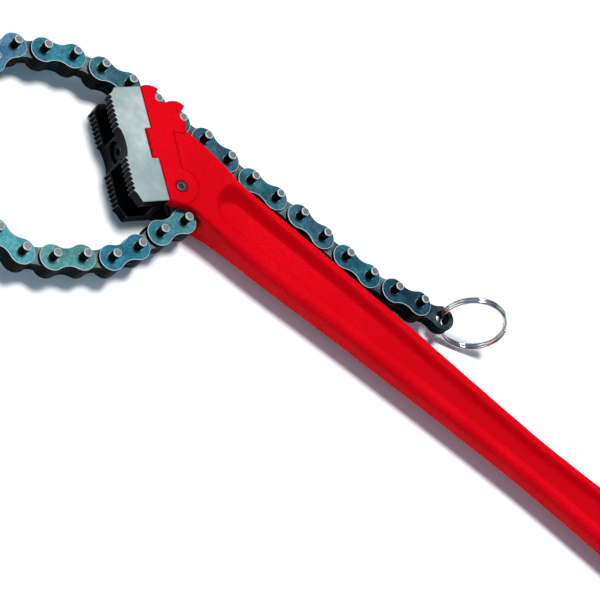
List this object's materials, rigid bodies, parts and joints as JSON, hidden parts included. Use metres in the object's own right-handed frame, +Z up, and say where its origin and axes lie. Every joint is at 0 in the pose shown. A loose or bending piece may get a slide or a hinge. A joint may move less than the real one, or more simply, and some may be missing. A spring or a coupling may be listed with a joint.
{
  "type": "chain pipe wrench",
  "caption": "Chain pipe wrench: forged red handle with hooked head, toothed jaw, and a leaf chain looped round the pipe space and laid back along the handle, with a pull ring.",
  "frame": {"origin": "centre of the hang hole in the grip end, at the middle of the handle's thickness", "axes": "+X from the head to the grip along the handle, +Y to the side the hooks are on, +Z up through the thickness as the tool lies flat"},
  "size_m": [0.4153, 0.125, 0.0296],
  "materials": {
    "handle": "satin red paint over a forged surface",
    "jaw": "ground sides, black oxide in the teeth and pockets",
    "jaw_screw": "black oxide",
    "anchor_rivet": "dark bare steel",
    "outer_link": "blue-green heat-treated steel",
    "inner_link": "dark heat-treated steel",
    "pin": "bright ground ends",
    "pull_ring": "bright plated wire"
  },
  "bodies": {
    "head": {"handle": "handle", "jaw": "jaw", "jaw_screw": "jaw_screw", "anchor_rivet": "anchor_rivet"},
    "anchor_link": {"anchor_link": "inner_link"},
    "outer_link_02": {"outer_link_02": "outer_link", "pins_02": "pin"},
    "inner_link_03": {"inner_link_03": "inner_link"},
    "outer_link_04": {"outer_link_04": "outer_link", "pins_04": "pin"},
    "inner_link_05": {"inner_link_05": "inner_link"},
    "outer_link_06": {"outer_link_06": "outer_link", "pins_06": "pin"},
    "inner_link_07": {"inner_link_07": "inner_link"},
    "outer_link_08": {"outer_link_08": "outer_link", "pins_08": "pin"},
    "inner_link_09": {"inner_link_09": "inner_link"},
    "outer_link_10": {"outer_link_10": "outer_link", "pins_10": "pin"},
    "inner_link_11": {"inner_link_11": "inner_link"},
    "outer_link_12": {"outer_link_12": "outer_link", "pins_12": "pin"},
    "inner_link_13": {"inner_link_13": "inner_link"},
    "outer_link_14": {"outer_link_14": "outer_link", "pins_14": "pin"},
    "inner_link_15": {"inner_link_15": "inner_link"},
    "outer_link_16": {"outer_link_16": "outer_link", "pins_16": "pin"},
    "inner_link_17": {"inner_link_17": "inner_link"},
    "outer_link_18": {"outer_link_18": "outer_link", "pins_18": "pin"},
    "inner_link_19": {"inner_link_19": "inner_link"},
    "outer_link_20": {"outer_link_20": "outer_link", "pins_20": "pin"},
    "inner_link_21": {"inner_link_21": "inner_link"},
    "outer_link_22": {"outer_link_22": "outer_link", "pins_22": "pin"},
    "inner_link_23": {"inner_link_23": "inner_link"},
    "outer_link_24": {"outer_link_24": "outer_link", "pins_24": "pin"},
    "inner_link_25": {"inner_link_25": "inner_link"},
    "outer_link_26": {"outer_link_26": "outer_link", "pins_26": "pin"},
    "inner_link_27": {"inner_link_27": "inner_link"},
    "outer_link_28": {"outer_link_28": "outer_link", "pins_28": "pin"},
    "inner_link_29": {"inner_link_29": "inner_link"},
    "outer_link_30": {"outer_link_30": "outer_link", "pins_30": "pin"},
    "inner_link_31": {"inner_link_31": "inner_link"},
    "outer_link_32": {"outer_link_32": "outer_link", "pins_32": "pin"},
    "end_link": {"end_link": "inner_link"},
    "pull_ring": {"pull_ring": "pull_ring"}
  },
  "joints": [
    {"name": "anchor_pivot", "type": "hinge", "parent": "head", "child": "anchor_link", "pos_m": [-0.3048, -0.0111, 0], "axis": [0, 0, 1], "range_deg": [0, 6]},
    {"name": "pivot_01", "type": "hinge", "parent": "anchor_link", "child": "outer_link_02", "pos_m": [-0.29522, -0.01943, 0], "axis": [0, 0, 1], "range_deg": [0, 15]},
    {"name": "pivot_02", "type": "hinge", "parent": "outer_link_02", "child": "inner_link_03", "pos_m": [-0.30038, -0.03103, 0], "axis": [0, 0, 1], "range_deg": [0, 15]},
    {"name": "pivot_03", "type": "hinge", "parent": "inner_link_03", "child": "outer_link_04", "pos_m": [-0.30452, -0.04304, 0], "axis": [0, 0, 1], "range_deg": [0, 15]},
    {"name": "pivot_04", "type": "hinge", "parent": "outer_link_04", "child": "inner_link_05", "pos_m": [-0.31028, -0.05436, 0], "axis": [0, 0, 1], "range_deg": [0, 15]},
    {"name": "pivot_05", "type": "hinge", "parent": "inner_link_05", "child": "outer_link_06", "pos_m": [-0.31972, -0.06286, 0], "axis": [0, 0, 1], "range_deg": [0, 15]},
    {"name": "pivot_06", "type": "hinge", "parent": "outer_link_06", "child": "inner_link_07", "pos_m": [-0.32916, -0.07135, 0], "axis": [0, 0, 1], "range_deg": [0, 15]},
    {"name": "pivot_07", "type": "hinge", "parent": "inner_link_07", "child": "outer_link_08", "pos_m": [-0.34004, -0.07789, 0], "axis": [0, 0, 1], "range_deg": [0, 15]},
    {"name": "pivot_08", "type": "hinge", "parent": "outer_link_08", "child": "inner_link_09", "pos_m": [-0.35274, -0.07834, 0], "axis": [0, 0, 1], "range_deg": [0, 15]},
    {"name": "pivot_09", "type": "hinge", "parent": "inner_link_09", "child": "outer_link_10", "pos_m": [-0.3654, -0.07745, 0], "axis": [0, 0, 1], "range_deg": [0, 15]},
    {"name": "pivot_10", "type": "hinge", "parent": "outer_link_10", "child": "inner_link_11", "pos_m": [-0.37748, -0.07353, 0], "axis": [0, 0, 1], "range_deg": [0, 15]},
    {"name": "chain_lift", "type": "slide", "parent": "head", "child": "outer_link_22", "axis": [0, 1, 0], "range_m": [0, 0.015]},
    {"name": "pivot_21", "type": "hinge", "parent": "outer_link_22", "child": "inner_link_21", "pos_m": [-0.3329, 0.0162, 0], "axis": [0, 0, 1], "range_deg": [-15, 0]},
    {"name": "pivot_20", "type": "hinge", "parent": "inner_link_21", "child": "outer_link_20", "pos_m": [-0.34558, 0.01554, 0], "axis": [0, 0, 1], "range_deg": [-15, 0]},
    {"name": "pivot_19", "type": "hinge", "parent": "outer_link_20", "child": "inner_link_19", "pos_m": [-0.35801, 0.01289, 0], "axis": [0, 0, 1], "range_deg": [-15, 0]},
    {"name": "pivot_18", "type": "hinge", "parent": "inner_link_19", "child": "outer_link_18", "pos_m": [-0.37001, 0.00876, 0], "axis": [0, 0, 1], "range_deg": [-15, 0]},
    {"name": "pivot_17", "type": "hinge", "parent": "outer_link_18", "child": "inner_link_17", "pos_m": [-0.38078, 0.00203, 0], "axis": [0, 0, 1], "range_deg": [-15, 0]},
    {"name": "pivot_16", "type": "hinge", "parent": "inner_link_17", "child": "outer_link_16", "pos_m": [-0.39106, -0.00543, 0], "axis": [0, 0, 1], "range_deg": [-15, 0]},
    {"name": "pivot_15", "type": "hinge", "parent": "outer_link_16", "child": "inner_link_15", "pos_m": [-0.39391, -0.01781, 0], "axis": [0, 0, 1], "range_deg": [-15, 0]},
    {"name": "pivot_14", "type": "hinge", "parent": "inner_link_15", "child": "outer_link_14", "pos_m": [-0.39681, -0.03017, 0], "axis": [0, 0, 1], "range_deg": [-15, 0]},
    {"name": "pivot_13", "type": "hinge", "parent": "outer_link_14", "child": "inner_link_13", "pos_m": [-0.39713, -0.04287, 0], "axis": [0, 0, 1], "range_deg": [-15, 0]},
    {"name": "pivot_12", "type": "hinge", "parent": "inner_link_13", "child": "outer_link_12", "pos_m": [-0.39449, -0.05529, 0], "axis": [0, 0, 1], "range_deg": [-15, 0]},
    {"name": "pivot_22", "type": "hinge", "parent": "outer_link_22", "child": "inner_link_23", "pos_m": [-0.32021, 0.01664, 0], "axis": [0, 0, 1], "range_deg": [0, 20]},
    {"name": "pivot_23", "type": "hinge", "parent": "inner_link_23", "child": "outer_link_24", "pos_m": [-0.30758, 0.01797, 0], "axis": [0, 0, 1], "range_deg": [0, 20]},
    {"name": "pivot_24", "type": "hinge", "parent": "outer_link_24", "child": "inner_link_25", "pos_m": [-0.29489, 0.01753, 0], "axis": [0, 0, 1], "range_deg": [0, 20]},
    {"name": "pivot_25", "type": "hinge", "parent": "inner_link_25", "child": "outer_link_26", "pos_m": [-0.28219, 0.01731, 0], "axis": [0, 0, 1], "range_deg": [0, 20]},
    {"name": "pivot_26", "type": "hinge", "parent": "outer_link_26", "child": "inner_link_27", "pos_m": [-0.26954, 0.01841, 0], "axis": [0, 0, 1], "range_deg": [0, 20]},
    {"name": "pivot_27", "type": "hinge", "parent": "inner_link_27", "child": "outer_link_28", "pos_m": [-0.25685, 0.01908, 0], "axis": [0, 0, 1], "range_deg": [0, 20]},
    {"name": "pivot_28", "type": "hinge", "parent": "outer_link_28", "child": "inner_link_29", "pos_m": [-0.24417, 0.01841, 0], "axis": [0, 0, 1], "range_deg": [0, 20]},
    {"name": "pivot_29", "type": "hinge", "parent": "inner_link_29", "child": "outer_link_30", "pos_m": [-0.23148, 0.01797, 0], "axis": [0, 0, 1], "range_deg": [0, 20]},
    {"name": "pivot_30", "type": "hinge", "parent": "outer_link_30", "child": "inner_link_31", "pos_m": [-0.21878, 0.01819, 0], "axis": [0, 0, 1], "range_deg": [0, 20]},
    {"name": "pivot_31", "type": "hinge", "parent": "inner_link_31", "child": "outer_link_32", "pos_m": [-0.20631, 0.02061, 0], "axis": [0, 0, 1], "range_deg": [0, 20]},
    {"name": "pivot_32", "type": "hinge", "parent": "outer_link_32", "child": "end_link", "pos_m": [-0.19405, 0.0239, 0], "axis": [0, 0, 1], "range_deg": [0, 20]},
    {"name": "ring_swing", "type": "hinge", "parent": "end_link", "child": "pull_ring", "pos_m": [-0.18172, 0.02697, 0], "axis": [0, 0, 1], "range_deg": [-30, 80]}
  ]
}
